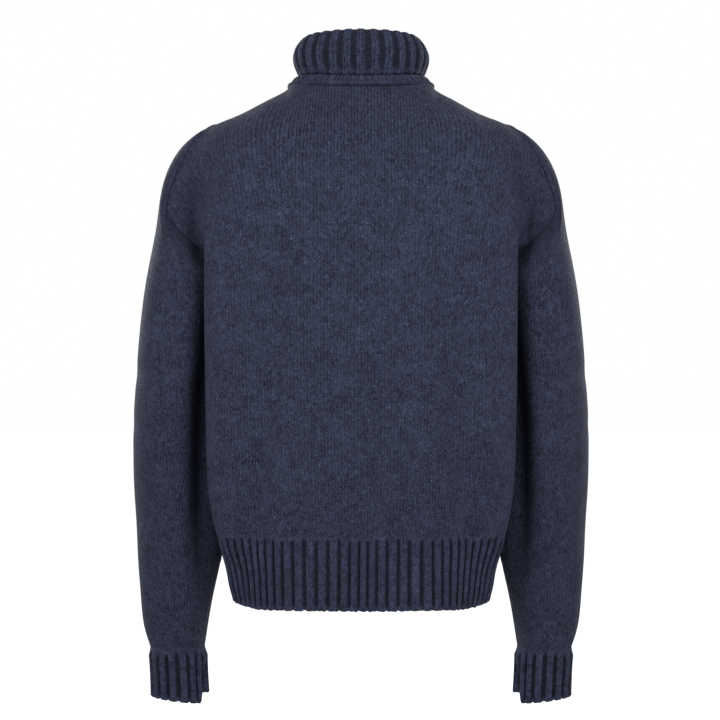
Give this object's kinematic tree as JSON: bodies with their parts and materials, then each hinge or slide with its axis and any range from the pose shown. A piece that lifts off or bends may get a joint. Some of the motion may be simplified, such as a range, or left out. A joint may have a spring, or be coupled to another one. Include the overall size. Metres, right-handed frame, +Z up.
{
  "type": "turtleneck sweater",
  "caption": "Hollow worn form of a boxy knitted pullover with a folded ribbed roll collar, drop shoulders, long sleeves, vented ribbed cuffs and a deep ribbed hem",
  "frame": {"origin": "centre of the neck's base, level with the neckline at the back; the wearer holds the garment up there", "axes": "+Z up, -Y the way the front faces, +X the wearer's left"},
  "size_m": [0.5468, 0.2721, 0.804],
  "materials": {
    "plain_knit": "matt heathered navy wool, plain knit with a soft nap",
    "rib_knit": "matt heathered navy wool, wide rib knit"
  },
  "bodies": {
    "root": {"front": "plain_knit", "back": "plain_knit", "sleeve_left": "plain_knit", "sleeve_right": "plain_knit", "hem_front": "rib_knit", "hem_back": "rib_knit", "cuff_left": "rib_knit", "cuff_right": "rib_knit", "collar": "rib_knit"}
  },
  "joints": []
}
